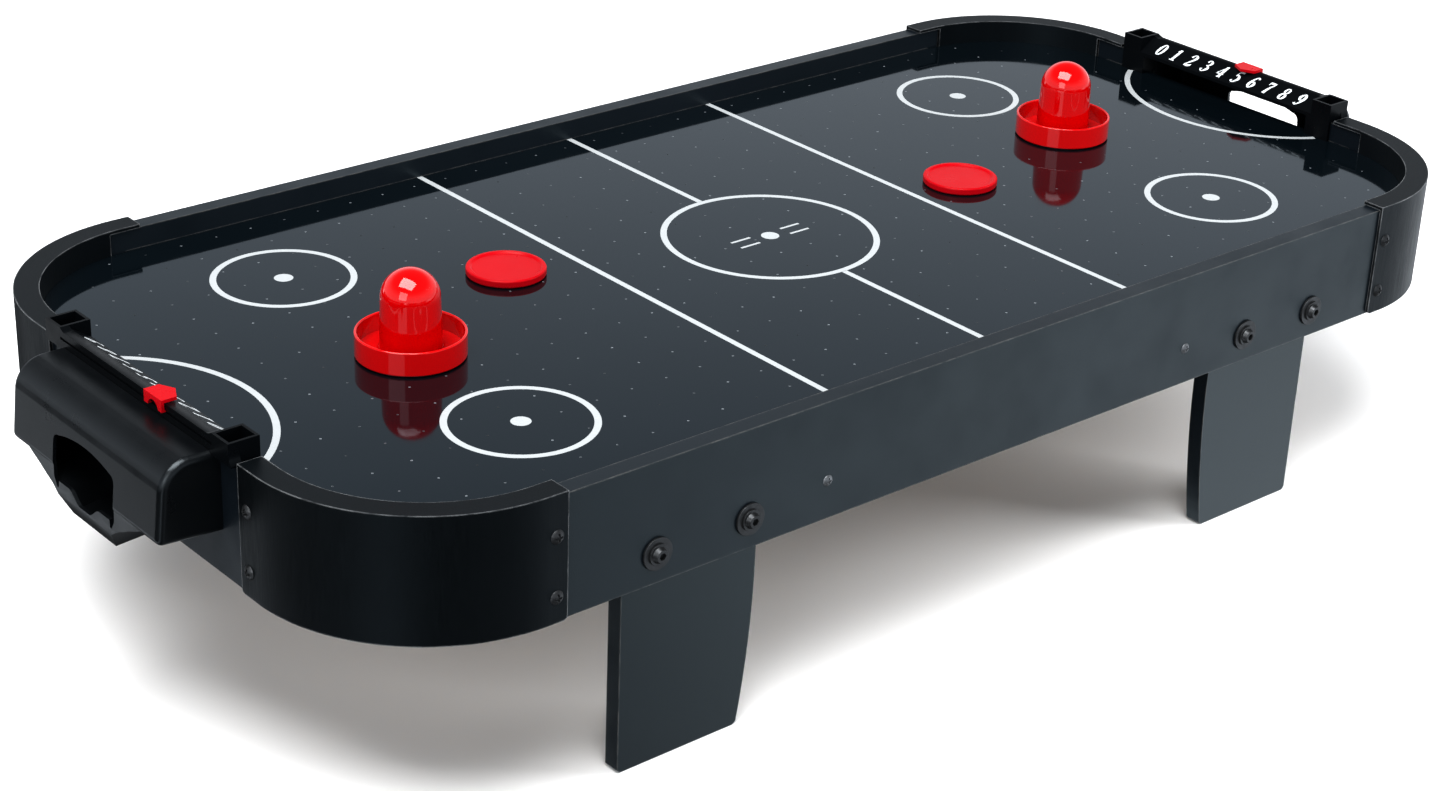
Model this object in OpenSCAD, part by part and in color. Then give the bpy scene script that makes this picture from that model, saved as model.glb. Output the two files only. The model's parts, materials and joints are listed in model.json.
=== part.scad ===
// Tabletop air hockey table: boards, corner pieces, blown playing surface,
// goals with score sliders, board legs, pushers and pucks.
// X runs along the table, Y across it, Z up, origin on the floor under the middle.

/* [Table] */
// Length over the corner pieces
table_l = 924.4; // [900:1:960]
// Width over the corner pieces
table_w = 459.4; // [440:1:480]
// Height of the playing surface above the floor
play_z = 185.5; // [170:1:220]
// Height of the rails above the playing surface
rail_rise = 14; // [13:0.5:16]

/* [Boards] */
// Thickness of the side and end boards
board_t = 12; // [11:0.5:13]
// Height of the side and end boards
board_h = 75; // [72:1:82]
// Thickness of the playing surface
play_t = 3; // [2.5:0.5:3.5]
// Depth of the groove that holds the playing surface
groove_d = 3.4; // [2:0.2:4]

/* [Corners] */
// Outer radius of a corner piece
corner_r = 110.6; // [100:0.2:118]
// Width of a corner piece seen from above
corner_w = 15.4; // [14:0.2:17]
// How far a corner piece stands proud of the boards
corner_proud = 2.1; // [1.8:0.1:2.4]
// Wall thickness of the moulded corner piece
corner_t = 2.5; // [2.2:0.1:3]

/* [Air holes] */
// Distance between air holes
hole_pitch = 25.4; // [25.4:0.1:30]
// Diameter of an air hole
hole_d = 1.2; // [1:0.1:1.6]

/* [Legs] */
// Width of a leg at the top
leg_w = 97.5; // [90:0.5:105]
// How much narrower a leg is at the floor
leg_taper = 10; // [0:1:25]
// Thickness of a leg
leg_t = 11; // [9:0.5:12]

/* [Goals] */
// Distance between the outer sides of the goal posts
goal_w = 199; // [190:1:202]
// Height of the goal posts above the playing surface
goal_rise = 27.3; // [25:0.1:30]
// Half length over the two goal boxes
goal_reach = 499.6; // [496:0.2:506]
// Wall thickness of the goal box
goal_t = 2.2; // [2:0.1:2.6]

/* [Pushers and pucks] */
// Diameter of a pusher
pusher_d = 66.4; // [60:0.2:70]
// Height of a pusher
pusher_h = 54; // [50:1:60]
// Diameter of a puck
puck_d = 50.8; // [48:0.2:51]
// Thickness of a puck
puck_h = 5; // [4:0.5:6]

/* [Fan] */
// Side of the square fan frame
fan_w = 92; // [90:1:94]
// Depth of the fan frame
fan_h = 25; // [24:1:25]

/* [Hidden] */

$fn = 96;
eps = 0.01;
black = [0.06, 0.065, 0.075];
surface_blue = [0.16, 0.19, 0.22];
steel_black = [0.1, 0.1, 0.11];
red = [0.85, 0.03, 0.08];
tan_board = [0.5, 0.38, 0.26];

// --- heights
rail_z = play_z + rail_rise;
board_z = rail_z - board_h;
play_under = play_z - play_t;
corner_top = rail_z + corner_t;
corner_bottom = board_z;
base_t = 3;
air_gap = 16.5;
base_top = play_under - air_gap;
base_z = base_top - base_t;

// --- plan
half_l = table_l / 2;
half_w = table_w / 2;
side_out = half_w - corner_proud;
side_in = side_out - board_t;
end_out = half_l - corner_proud;
end_in = end_out - board_t;
arc_x = half_l - corner_r;
arc_y = half_w - corner_r;
arc_in = corner_r - corner_w;
flange_x = arc_x - 12.1;
flange_y = arc_y - 16.4;
seam_x = arc_x + 9.2;
seam_y = arc_y + 8.2;
play_gap = 0.1;

// --- screws of the corner pieces, legs and braces
corner_screw_r = 2;
corner_screw_zs = [rail_z - 22.8, rail_z - 59.3];
corner_screw_x = flange_x + 7.5;
corner_screw_y = flange_y + 8.3;
leg_bolt_r = 3;
leg_bolt_xs = [211.1, 277.5];
leg_bolt_z = play_z - 42.4;
leg_out_x = 292;
washer_r = 10;
washer_t = 1.5;
bolt_head_r = 5;
bolt_head_h = 2.8;
bolt_flange_r = 6.6;
bolt_flange_h = 1.2;
brace_x = 152.7;
brace_t = 12;
brace_h = 26;
brace_screw_z = play_z - 36.5;
brace_screw_r = 1.8;

// --- goal frame and goal box
post_in = end_in - 2.5;
post_out = end_out + 5;
post_w = 17;
post_y = goal_w / 2 - post_w;
post_t = 1.8;
goal_top = play_z + goal_rise;
mouth_y = post_y - 2;
liner_t = 2;
ledge_w = 5.9;
ledge_z = goal_top - 1.8;
ledge_ramp = 5.5;
beam_drop = 9;
beam_t = 2;
foot_w = 2.4;
foot_h = 6.5;
slot_z = rail_z + 6;
slot_h = 1.6;
slot_d = 1;
box_half = post_y;
box_top = play_z + 16;
box_front_z = play_z - 32;
box_back_z = play_z - 34.5;
box_r = 19;
box_draft = 2.6;
box_edge = 4.5;
sag_fold_y = 30;
sag_low_y = 24;
sag_fold_z = play_z - 46.2;
sag_z = play_z - 57.5;
sag_back_z = play_z - 53;
sag_lean = 5.6;
hand_y = 33.7;
hand_top = play_z - 5.3;
hand_arch = 4.2;
hand_edge = 5;
lip_z = play_z - 37.5;
scoop_z = play_z - 44.3;
scoop_flat = 5;
scoop_y = 17;
goal_screw_r = 1.75;
goal_screw_l = 10 + goal_t;
goal_screw_spots = [[-66, play_z - 20], [66, play_z - 20], [-16, play_z - 44], [16, play_z - 44]];
sill_x = end_in + 6;

// --- score sliders: half width, clearance and place along the beam at rest
slider_half = 9.5;
slider_gap = 0.3;
slider_t = 2;
slider_y_right = -9;
slider_y_left = -25;

// --- fan
fan_top = base_z;
fan_low = fan_top - fan_h;
duct_r = 44.5;
hub_r = 17;
hub_t = 1.8;
blade_r = 43;
shaft_r = 1.5;
bearing_gap = 0.05;
bearing_r = 4;
boss_t = 3;
hub_low = fan_low + boss_t + 1.2;
hub_top = fan_top - 2.5;
fan_hole = 41;
fan_screw_r = 2;
guard_t = 2;

// --- switch and inlet
switch_x = 30;
switch_z = 153.5;
plate_w = 56;
plate_h = 26;
plate_t = 2;
rocker_dx = -12;
inlet_dx = 14;
rocker_w = 19;
rocker_h = 13;
rocker_gap = 0.4;
switch_back_y = 193;
rocker_pivot_y = side_out - 4;
inlet_r = 5.5;
inlet_bore_r = 2.75;
lead_r = 2;
lead_z = base_z - lead_r;
lead_clip_ys = [90, 150];

// --- pushers and pucks, with the places of their centres
air_film = 0.3;
felt_t = 1.5;
felt_out = 0.4;
shell_t = 2.4;
rim_t = 1.7;
rim_h = 15;
knob_r = 17.8;
knob_foot_r = 18.8;
pusher_spot_left = [-291.5, -14.6];
pusher_spot_right = [297, 22];
puck_spot_left = [-176, 49.5];
puck_spot_right = [169, -4];

// ---------------------------------------------------------------- helpers

// A rectangle with round corners, inset from the outline of the corner pieces
module outline(inset) {
    r = corner_r - inset;
    for (sx = [-1, 1], sy = [-1, 1])
        translate([sx * arc_x, sy * arc_y]) circle(r, $fn = 180);
    square([2 * (half_l - inset), 2 * arc_y], center = true);
    square([2 * arc_x, 2 * (half_w - inset)], center = true);
}

// The part of the plan in one corner, past both inner seams
module corner_field(x0, y0) {
    translate([x0, y0]) square([half_l, half_w]);
}

module slab(x0, x1, y0, y1, z0, z1) {
    translate([x0, y0, z0]) cube([x1 - x0, y1 - y0, z1 - z0]);
}

// Puts a piece drawn for the back right quarter into another quarter
module quarter(sx, sy) {
    mirror([sx < 0 ? 1 : 0, 0, 0]) mirror([0, sy < 0 ? 1 : 0, 0]) children();
}

// Turns a piece drawn for the right end half way round
module goal_end(side) {
    rotate([0, 0, side < 0 ? 180 : 0]) children();
}

// A screw that points along +Z into the work, with its head below z = 0
module pan_screw(r, length, head_r, head_h) {
    slot = head_r * 0.27;
    dome_r = (head_r * head_r + head_h * head_h) / (2 * head_h);
    difference() {
        union() {
            cylinder(r = r, h = length, $fn = 24);
            intersection() {
                translate([0, 0, -head_h]) cylinder(r = head_r, h = head_h, $fn = 32);
                translate([0, 0, dome_r - head_h]) sphere(dome_r, $fn = 48);
            }
        }
        for (a = [0, 90]) rotate([0, 0, a])
            translate([-head_r * 0.58, -slot / 2, -head_h - eps])
                cube([head_r * 1.16, slot, head_h * 0.6]);
    }
}

// ---------------------------------------------------------------- boards

// Pilot holes in the boards for the corner screws, back right quarter
module corner_screw_axes() {
    for (z = corner_screw_zs) {
        translate([corner_screw_x, half_w, z]) rotate([90, 0, 0]) children();
        translate([half_l, corner_screw_y, z]) rotate([0, -90, 0]) children();
    }
}

module corner_pilots() {
    for (sx = [-1, 1], sy = [-1, 1]) quarter(sx, sy)
        corner_screw_axes() cylinder(r = corner_screw_r, h = 11, $fn = 24);
}

module leg_bolt_axes() {
    for (sx = [-1, 1], sy = [-1, 1], x = leg_bolt_xs) quarter(sx, sy)
        translate([x, side_out, leg_bolt_z]) rotate([90, 0, 0]) children();
}

module brace_screw_axes() {
    for (sx = [-1, 1], sy = [-1, 1]) quarter(sx, sy)
        translate([brace_x, side_out, brace_screw_z]) rotate([90, 0, 0]) children();
}

module play_groove() {
    translate([0, 0, play_under]) linear_extrude(play_t) play_plan(0);
}

// Plan of the playing surface: it fills the inside and enters the grooves
module play_plan(gap) {
    square([2 * (arc_x - 2), 2 * (side_in + groove_d)], center = true);
    square([2 * (end_in + groove_d), 2 * (arc_y - 2)], center = true);
    square([2 * sill_x, 2 * (mouth_y - play_gap)], center = true);
    outline(corner_w + gap);
}

module side_board(sy) {
    color(black) difference() {
        intersection() {
            slab(-seam_x + 0.3, seam_x - 0.3, sy > 0 ? side_in : -side_out,
                 sy > 0 ? side_out : -side_in, board_z, rail_z);
            translate([0, 0, board_z]) linear_extrude(board_h) outline(corner_proud);
        }
        play_groove();
        corner_pilots();
        leg_bolt_axes() translate([0, 0, -1]) cylinder(r = leg_bolt_r + 0.2, h = board_t + 2);
        brace_screw_axes() translate([0, 0, -1]) cylinder(r = brace_screw_r, h = board_t + 2);
        if (sy > 0) switch_cutout();
    }
}

module side_board_front() { side_board(-1); }
module side_board_back() { side_board(1); }

module end_board(sx) {
    color(black) difference() {
        intersection() {
            slab(sx > 0 ? end_in : -end_out, sx > 0 ? end_out : -end_in,
                 -seam_y + 0.3, seam_y - 0.3, board_z, rail_z);
            translate([0, 0, board_z]) linear_extrude(board_h) outline(corner_proud);
        }
        play_groove();
        corner_pilots();
        slab(-half_l, half_l, -mouth_y, mouth_y, play_under, rail_z + 1);
        goal_end(sx) goal_screw_axes() cylinder(r = goal_screw_r, h = goal_screw_l, $fn = 24);
    }
}

module end_board_left() { end_board(-1); }
module end_board_right() { end_board(1); }

module playing_surface() {
    rows = 8;
    half_cols = 17;
    color(surface_blue) translate([0, 0, play_under]) linear_extrude(play_t) difference() {
        play_plan(play_gap);
        for (sx = [-1, 1], i = [0 : half_cols - 1], j = [-rows : rows]) {
            x = (i + 0.5) * hole_pitch;
            y = j * hole_pitch;
            past = norm([max(0, x - arc_x), max(0, abs(y) - arc_y)]);
            if (past < arc_in - 6)
                translate([sx * x, y]) circle(d = hole_d, $fn = 13);
        }
    }
}

module base_panel() {
    color(tan_board) difference() {
        translate([0, 0, base_z]) linear_extrude(base_t) intersection() {
            outline(corner_w + play_gap);
            square([2 * end_in, 2 * side_in], center = true);
        }
        translate([0, 0, base_z - 1]) cylinder(r = duct_r, h = base_t + 2);
        for (sx = [-1, 1], sy = [-1, 1])
            translate([sx * fan_hole, sy * fan_hole, base_z - 1])
                cylinder(r = fan_screw_r, h = base_t + 2, $fn = 24);
    }
}

module air_batten_long(sy) {
    color(tan_board)
        slab(-340, 340, sy > 0 ? side_in - board_t : -side_in,
             sy > 0 ? side_in : board_t - side_in, base_top, play_under);
}

module air_batten_end(sx) {
    color(tan_board)
        slab(sx > 0 ? end_in - board_t : -end_in, sx > 0 ? end_in : board_t - end_in,
             -105, 105, base_top, play_under);
}

module air_batten_front() { air_batten_long(-1); }
module air_batten_back() { air_batten_long(1); }
module air_batten_left() { air_batten_end(-1); }
module air_batten_right() { air_batten_end(1); }

module cross_brace(sx) {
    color(tan_board) difference() {
        slab(sx * brace_x - brace_t / 2, sx * brace_x + brace_t / 2, -side_in, side_in,
             base_z - brace_h, base_z);
        brace_screw_axes() cylinder(r = brace_screw_r, h = 32, $fn = 24);
    }
}

module cross_brace_left() { cross_brace(-1); }
module cross_brace_right() { cross_brace(1); }

module brace_screws() {
    color(steel_black) brace_screw_axes() pan_screw(brace_screw_r, 32, 3.6, 1.8);
}

// ---------------------------------------------------------------- corner pieces

// What a fillet of radius r leaves out of a square corner
module spandrel(r) {
    difference() {
        translate([-eps, -eps]) square(r + eps);
        translate([r, r]) circle(r, $fn = 48);
    }
}

// One corner moulding, back right quarter: outer wall with flanges over the ends of
// the boards, flat top, inner wall and ribs, open underneath
module corner_piece() {
    flange_round = 3;
    ledge = 4;
    rib_angles = [24, 45, 66];
    color(black) difference() {
        union() {
            // outer wall and its flanges
            translate([0, 0, corner_bottom]) linear_extrude(corner_top - corner_bottom)
                difference() {
                    intersection() {
                        outline(0);
                        corner_field(flange_x, flange_y);
                    }
                    outline(corner_proud);
                }
            // flat top
            translate([0, 0, rail_z]) linear_extrude(corner_t) difference() {
                intersection() {
                    outline(0);
                    corner_field(flange_x, flange_y);
                }
                outline(corner_w);
            }
            // inner wall down to the underside of the base panel
            translate([0, 0, base_z]) linear_extrude(rail_z - base_z + eps) difference() {
                intersection() {
                    outline(corner_w - corner_t);
                    corner_field(seam_x, seam_y);
                }
                outline(corner_w);
            }
            // ledge under the playing surface
            translate([0, 0, play_under - corner_t]) linear_extrude(corner_t) difference() {
                intersection() {
                    outline(corner_w - eps);
                    corner_field(seam_x + 5, seam_y + 5);
                }
                outline(corner_w + ledge);
            }
            // ribs between the walls
            for (a = rib_angles) translate([arc_x, arc_y, base_z]) rotate([0, 0, a])
                translate([arc_in + 1, -corner_t / 2, 0])
                    cube([corner_w - corner_proud - 0.5, corner_t, rail_z - base_z + eps]);
        }
        corner_screw_axes() translate([0, 0, -1]) cylinder(r = corner_screw_r + 0.1, h = 4, $fn = 24);
        // round lower corners of the flanges
        translate([flange_x, half_w + 1, corner_bottom]) rotate([90, 0, 0])
            linear_extrude(corner_proud + 1.5) spandrel(flange_round);
        translate([half_l - corner_proud - 0.5, flange_y, corner_bottom]) rotate([90, 0, 90])
            linear_extrude(corner_proud + 1.5) spandrel(flange_round);
    }
}

module corner_front_left() { quarter(-1, -1) corner_piece(); }
module corner_front_right() { quarter(1, -1) corner_piece(); }
module corner_back_left() { quarter(-1, 1) corner_piece(); }
module corner_back_right() { quarter(1, 1) corner_piece(); }

module corner_screws() {
    color(steel_black) for (sx = [-1, 1], sy = [-1, 1]) quarter(sx, sy)
        corner_screw_axes() pan_screw(corner_screw_r, 11, 4.4, 2.2);
}

// ---------------------------------------------------------------- legs

// Inner edge of a leg: a parabola that pulls in towards the floor
function leg_edge(z, z_bend) = leg_taper * pow(max(0, z_bend - z) / z_bend, 2);

module leg() {
    z_bend = 110;
    steps = 12;
    foot_r = 2;
    x_in = leg_out_x - leg_w;
    top = base_z;
    color(black) difference() {
        translate([0, side_in, 0]) rotate([90, 0, 0]) linear_extrude(leg_t)
            polygon(concat(
                [[leg_out_x, top], [leg_out_x, foot_r], [leg_out_x - foot_r, 0],
                 [x_in + leg_taper + foot_r, 0]],
                [for (i = [0 : steps]) let (z = foot_r + (z_bend - foot_r) * i / steps)
                    [x_in + leg_edge(z, z_bend), z]],
                [[x_in, top]]));
        for (x = leg_bolt_xs) translate([x, side_in + 1, leg_bolt_z]) rotate([90, 0, 0])
            cylinder(r = leg_bolt_r + 0.2, h = leg_t + 2);
    }
}

module leg_front_left() { quarter(-1, -1) leg(); }
module leg_front_right() { quarter(1, -1) leg(); }
module leg_back_left() { quarter(-1, 1) leg(); }
module leg_back_right() { quarter(1, 1) leg(); }

module leg_bolts() {
    length = board_t + leg_t + 7;
    socket_d = 4.6;
    face_r = 3.8;
    head_z = -washer_t - bolt_flange_h - bolt_head_h;
    color(steel_black) leg_bolt_axes() difference() {
        union() {
            cylinder(r = leg_bolt_r, h = length, $fn = 32);
            translate([0, 0, head_z])
                cylinder(r1 = face_r, r2 = bolt_head_r, h = bolt_head_h, $fn = 48);
            translate([0, 0, -washer_t - bolt_flange_h])
                cylinder(r = bolt_flange_r, h = bolt_flange_h, $fn = 48);
            translate([0, 0, -washer_t - eps]) cylinder(r = leg_bolt_r, h = washer_t + 1, $fn = 32);
        }
        translate([0, 0, head_z - eps]) cylinder(d = socket_d, h = 2.4, $fn = 6);
    }
}

module leg_washers() {
    color(steel_black) leg_bolt_axes() translate([0, 0, -washer_t]) difference() {
        cylinder(r = washer_r, h = washer_t, $fn = 64);
        translate([0, 0, -1]) cylinder(r = leg_bolt_r + 0.1, h = washer_t + 2, $fn = 32);
    }
}

module leg_nuts() {
    nut_af = 10;
    color(steel_black) leg_bolt_axes() translate([0, 0, board_t + leg_t]) difference() {
        cylinder(d = nut_af / cos(30), h = 5, $fn = 6);
        translate([0, 0, -1]) cylinder(r = leg_bolt_r + 0.02, h = 7, $fn = 32);
    }
}

// ---------------------------------------------------------------- goals

// Section of the scoring beam: a flat ledge and a face that slopes to the table
module beam_section(t) {
    polygon([
        [post_out - t, rail_z - t], [post_out - t, ledge_z - t],
        [post_out - ledge_w + t * 0.3, ledge_z - t],
        [post_in + t, ledge_z - beam_drop - t * 0.5], [post_in + t, rail_z - t]
    ]);
}

module goal_post(sy) {
    y0 = sy > 0 ? post_y : -post_y - post_w;
    difference() {
        slab(post_in, post_out, y0, y0 + post_w, rail_z, goal_top);
        slab(post_in + post_t, post_out - post_t, y0 + post_t, y0 + post_w - post_t,
             rail_z + post_t, goal_top + 1);
    }
    // lip inside the rail, down to the playing surface
    lip_in = sy > 0 ? mouth_y : -post_y - post_w;
    slab(post_in, end_in, lip_in, lip_in + post_w + liner_t, play_z, rail_z + eps);
    // foot beside the post and ramp between the post and the ledge of the beam
    translate([post_out - 7, 0, 0]) rotate([90, 0, 90]) linear_extrude(7)
        polygon([[sy * (post_y + post_w - eps), rail_z], [sy * (post_y + post_w + foot_w), rail_z],
                 [sy * (post_y + post_w + foot_w), rail_z + 1],
                 [sy * (post_y + post_w + foot_w * 0.25), rail_z + foot_h * 0.45],
                 [sy * (post_y + post_w - eps), rail_z + foot_h]]);
    translate([post_out - ledge_w, 0, 0]) rotate([90, 0, 90]) linear_extrude(ledge_w)
        polygon(concat(
            [[sy * (post_y + eps), ledge_z - eps]],
            [for (i = [0 : 6]) let (u = i / 6)
                [sy * (post_y + eps - ledge_ramp * (1 - u)),
                 ledge_z - eps + (goal_top - ledge_z) * u * u]]));
}

module goal_frame() {
    color(black) {
        difference() {
            union() {
                for (sy = [-1, 1]) goal_post(sy);
                translate([0, post_y + eps, 0]) rotate([90, 0, 0])
                    linear_extrude(2 * (post_y + eps)) difference() {
                        beam_section(0);
                        beam_section(beam_t);
                    }
                // liners on the cut ends of the board at the goal mouth
                for (sy = [-1, 1])
                    slab(post_in, end_out, sy > 0 ? mouth_y - liner_t : -mouth_y,
                         sy > 0 ? mouth_y : liner_t - mouth_y, play_z, rail_z + eps);
            }
            // groove for the toe of the score slider
            slab(post_out - slot_d, post_out + 1, -post_y, post_y, slot_z, slot_z + slot_h);
        }
    }
}

module goal_frame_left() { goal_end(-1) goal_frame(); }
module goal_frame_right() { goal_end(1) goal_frame(); }

// Points of an open line moved sideways by t, to the left of its run
function shifted(line, t) = [for (i = [0 : len(line) - 1]) let (
    run = line[min(i + 1, len(line) - 1)] - line[max(i - 1, 0)],
    side = [-run[1], run[0]] / norm(run)) line[i] + t * side];

// Outside of the goal box's trough, or its inside when t is the wall: a round top edge, a
// front that leans out towards the floor, and round ends
module box_trough(t) {
    edge = box_edge - t;
    y = box_half - box_edge;
    x_front = goal_reach - box_edge;
    x_round = goal_reach - box_draft - box_r;
    back = end_out - 5;
    hull() for (sy = [-1, 1]) {
        for (a = [0 : 10 : 90])
            translate([x_round + (box_r - box_edge) * cos(a), sy * y,
                       box_top - box_r + (box_r - box_edge) * sin(a)]) sphere(edge, $fn = 32);
        translate([x_front, sy * y, box_front_z + box_edge]) sphere(edge, $fn = 32);
        translate([back, sy * y, box_back_z + box_edge]) sphere(edge, $fn = 32);
        translate([back, sy * y, box_top - box_edge]) sphere(edge, $fn = 32);
    }
}

// The tray that hangs under the trough, drawn across the table and from the side
module box_sag(t) {
    back = end_out - 5;
    roof = box_front_z + 9;
    front_x = goal_reach - 0.15 - t;
    roof_x = front_x - 0.45;
    edge = shifted([[-66, box_front_z + 5], [-63, box_front_z + 2.6], [-59, box_front_z + 0.6],
                    [-54, box_front_z - 1.5], [-49, box_front_z - 3.6],
                    [-43.5, box_front_z - 6.4], [-36, box_front_z - 9.7],
                    [-sag_fold_y, sag_fold_z], [-sag_low_y, sag_z]], t);
    half = concat(edge, [[0, sag_z + t], [0, roof], [edge[0][0], roof]]);
    intersection() {
        translate([back, 0, 0]) rotate([90, 0, 90]) linear_extrude(goal_reach + 1 - back) {
            polygon(half);
            mirror([1, 0]) polygon(half);
        }
        translate([0, box_half, 0]) rotate([90, 0, 0]) linear_extrude(2 * box_half)
            polygon([[back, roof + 1], [back, sag_back_z + t], [goal_reach - sag_lean - t, sag_z + t],
                     [front_x, sag_fold_z], [roof_x, roof + 1]]);
    }
}

// The hand hole, drawn across the table: an arched top, and a lip with a finger scoop
// that a slit at each end frees from the wall
module hand_hole() {
    steps = 8;
    corner_y = hand_y - hand_edge;
    corner_z = hand_top - hand_arch - hand_edge;
    arch = [for (i = [0 : steps]) let (u = 1 - i / steps)
        [corner_y * u, hand_top - hand_arch * u * u]];
    corner = [for (a = [0 : 15 : 75]) [corner_y + hand_edge * cos(a), corner_z + hand_edge * sin(a)]];
    scoop = [for (i = [0 : steps]) let (u = i / steps)
        [scoop_flat + (scoop_y - scoop_flat) * u, scoop_z + (lip_z - scoop_z) * u * u * (3 - 2 * u)]];
    slit = [[hand_y - 5.5, lip_z], [hand_y - 4.7, lip_z - 4.5],
            [hand_y - 3.2, lip_z - 4.5], [hand_y, lip_z + 1]];
    half = concat([[0, scoop_z]], scoop, slit, corner, arch);
    translate([goal_reach - 14, 0, 0]) rotate([90, 0, 90]) linear_extrude(20) {
        polygon(half);
        mirror([1, 0]) polygon(half);
    }
}

module goal_screw_axes() {
    for (p = goal_screw_spots)
        translate([end_out + goal_t, p[0], p[1]]) rotate([0, -90, 0]) children();
}

module goal_box() {
    back_top = play_under - 2;
    color(black) difference() {
        union() {
            box_trough(0);
            box_sag(0);
        }
        difference() {
            union() {
                box_trough(goal_t);
                box_sag(goal_t);
            }
            // back plate under the mouth stays
            slab(end_out - 10, end_out + goal_t, -box_half, box_half, sag_z - 1, back_top);
        }
        slab(end_out - 20, end_out, -box_half - 1, box_half + 1, sag_z - 1, box_top + 1);
        // room for the goal frame
        slab(end_out - 1, post_out + 0.1, -box_half - 1, box_half + 1, rail_z - 0.3, goal_top);
        hand_hole();
        goal_screw_axes() translate([0, 0, -1]) cylinder(r = goal_screw_r + 0.1, h = 5, $fn = 24);
    }
}

module goal_box_left() { goal_end(-1) goal_box(); }
module goal_box_right() { goal_end(1) goal_box(); }

module goal_screws() {
    color(steel_black) for (side = [-1, 1]) goal_end(side)
        goal_screw_axes() pan_screw(goal_screw_r, goal_screw_l, 3.4, 1.8);
}

// A score slider: a plate with an arrow over the figures, and two clips outside the beam
module score_slider(y) {
    z0 = ledge_z + 0.2;
    x_back = post_out + slider_gap;
    clip_t = 1.8;
    clip_w = 5;
    clip_low = slot_z + 0.3;
    plate_in = post_out - 7.5;
    tip = plate_in - 4.8;
    toe = slot_d - slider_gap;
    color(red) translate([0, y, 0]) {
        translate([0, 0, z0]) linear_extrude(slider_t)
            polygon([
                [x_back + clip_t, -slider_half], [x_back + clip_t, slider_half],
                [plate_in, slider_half], [tip, 0], [plate_in, -slider_half]
            ]);
        difference() {
            slab(x_back, x_back + clip_t, -slider_half, slider_half, clip_low, z0 + eps);
            translate([x_back - 1, 0, clip_low - 1]) rotate([0, 90, 0])
                cylinder(r = slider_half - clip_w + 1, h = clip_t + 2);
        }
        for (sy = [-1, 1])
            slab(x_back - toe - slider_gap, x_back + eps,
                 sy > 0 ? slider_half - 4 : -slider_half,
                 sy > 0 ? slider_half : 4 - slider_half,
                 slot_z + 0.3, slot_z + slot_h - 0.3);
    }
}

module score_slider_left() { goal_end(-1) score_slider(-slider_y_left); }
module score_slider_right() { goal_end(1) score_slider(slider_y_right); }

// ---------------------------------------------------------------- fan

module fan_frame() {
    corner = 5;
    strut = 3;
    color(black) difference() {
        union() {
            difference() {
                translate([0, 0, fan_low]) linear_extrude(fan_h) {
                    square([fan_w - 2 * corner, fan_w], center = true);
                    square([fan_w, fan_w - 2 * corner], center = true);
                    for (sx = [-1, 1], sy = [-1, 1])
                        translate([sx, sy] * (fan_w / 2 - corner)) circle(corner);
                }
                translate([0, 0, fan_low - 1]) cylinder(r = duct_r, h = fan_h + 2, $fn = 180);
            }
            for (a = [0 : 90 : 270]) rotate([0, 0, a])
                slab(hub_r - 2, duct_r + 0.2, -strut / 2, strut / 2, fan_low, fan_low + boss_t);
            translate([0, 0, fan_low]) cylinder(r = hub_r, h = boss_t);
            translate([0, 0, fan_low]) cylinder(r = bearing_r, h = boss_t + 12);
        }
        translate([0, 0, fan_low + 1]) cylinder(r = shaft_r + bearing_gap, h = fan_h);
        for (sx = [-1, 1], sy = [-1, 1])
            translate([sx * fan_hole, sy * fan_hole, fan_low - 1])
                cylinder(r = fan_screw_r + 0.1, h = fan_h + 2, $fn = 24);
    }
}

module fan_stator() {
    r_out = 13;
    color([0.7, 0.4, 0.2]) translate([0, 0, fan_low + boss_t + 0.6]) difference() {
        union() {
            for (a = [0, 90]) rotate([0, 0, a]) intersection() {
                translate([-r_out, -4.5, 0]) cube([2 * r_out, 9, 9]);
                cylinder(r = r_out, h = 9);
            }
            cylinder(r = 7, h = 9);
        }
        translate([0, 0, -1]) cylinder(r = bearing_r + 0.02, h = 12);
    }
}

module fan_impeller() {
    blades = 7;
    pitch = 38;
    blade_t = 1.4;
    color(black) {
        difference() {
            translate([0, 0, hub_low]) cylinder(r = hub_r, h = hub_top - hub_low);
            translate([0, 0, hub_low - 1]) cylinder(r = hub_r - hub_t, h = hub_top - hub_low - hub_t + 1);
        }
        translate([0, 0, fan_low + 2]) cylinder(r = shaft_r, h = hub_top - fan_low - 2.5);
        intersection() {
            translate([0, 0, hub_low + 1]) difference() {
                cylinder(r = blade_r, h = hub_top - hub_low - 2);
                translate([0, 0, -1]) cylinder(r = hub_r - 0.5, h = 30);
            }
            for (i = [0 : blades - 1]) rotate([0, 0, i * 360 / blades])
                translate([blade_r / 2 + 7, 0, (hub_low + hub_top) / 2]) rotate([pitch, 0, 0])
                    cube([blade_r - 14, 24, blade_t], center = true);
        }
    }
}

module fan_guard() {
    ring_w = 2.2;
    color(steel_black) translate([0, 0, fan_low - guard_t]) difference() {
        union() {
            for (r = [14, 24, 34, 44]) difference() {
                cylinder(r = r, h = guard_t);
                translate([0, 0, -1]) cylinder(r = r - ring_w, h = guard_t + 2);
            }
            for (a = [45, 135]) rotate([0, 0, a])
                translate([-fan_hole * sqrt(2), -1.5, 0]) cube([2 * fan_hole * sqrt(2), 3, guard_t]);
            for (sx = [-1, 1], sy = [-1, 1])
                translate([sx * fan_hole, sy * fan_hole, 0]) cylinder(r = 5, h = guard_t);
        }
        for (sx = [-1, 1], sy = [-1, 1])
            translate([sx * fan_hole, sy * fan_hole, -1])
                cylinder(r = fan_screw_r + 0.1, h = guard_t + 2, $fn = 24);
    }
}

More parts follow.
